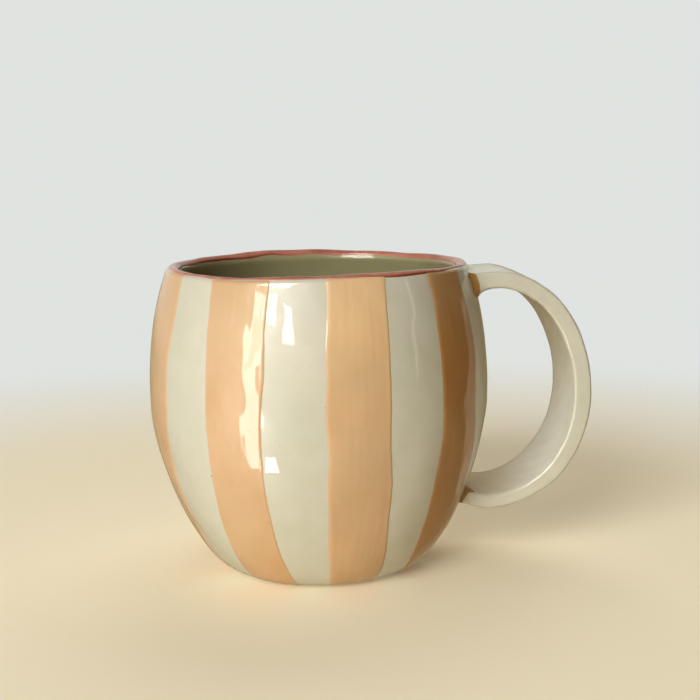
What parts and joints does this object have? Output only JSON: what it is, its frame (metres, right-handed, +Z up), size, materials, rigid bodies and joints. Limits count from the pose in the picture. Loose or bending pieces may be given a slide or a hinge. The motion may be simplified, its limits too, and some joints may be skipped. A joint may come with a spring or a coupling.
{
  "type": "ceramic mug",
  "caption": "Hand-built barrel-shaped stoneware mug with a rounded lip, a wide C-shaped strap handle and raised upright slip stripes under a clear glaze.",
  "frame": {"origin": "centre of the foot, on the surface the mug stands on", "axes": "+Z up along the pot's axis, towards the mouth; +X outward through the middle of the handle; +Y across the strap"},
  "size_m": [0.125, 0.097, 0.0873],
  "materials": {
    "cream_glaze": "gloss clear glaze over speckled cream clay",
    "apricot_slip": "gloss clear glaze over raised apricot slip",
    "rose_slip": "satin painted rose slip",
    "bare_clay": "unglazed, wiped clay"
  },
  "bodies": {
    "root": {"body_wall": "cream_glaze", "floor_slab": "bare_clay", "floor_coil": "cream_glaze", "handle": "cream_glaze", "upper_join": "apricot_slip", "lower_join": "apricot_slip", "rim_band": "rose_slip", "stripe_1": "apricot_slip", "stripe_2": "apricot_slip", "stripe_3": "apricot_slip", "stripe_4": "apricot_slip", "stripe_5": "apricot_slip", "stripe_6": "apricot_slip", "stripe_7": "apricot_slip", "stripe_8": "apricot_slip", "stripe_grip": "apricot_slip", "stripe_heel": "apricot_slip"}
  },
  "joints": []
}
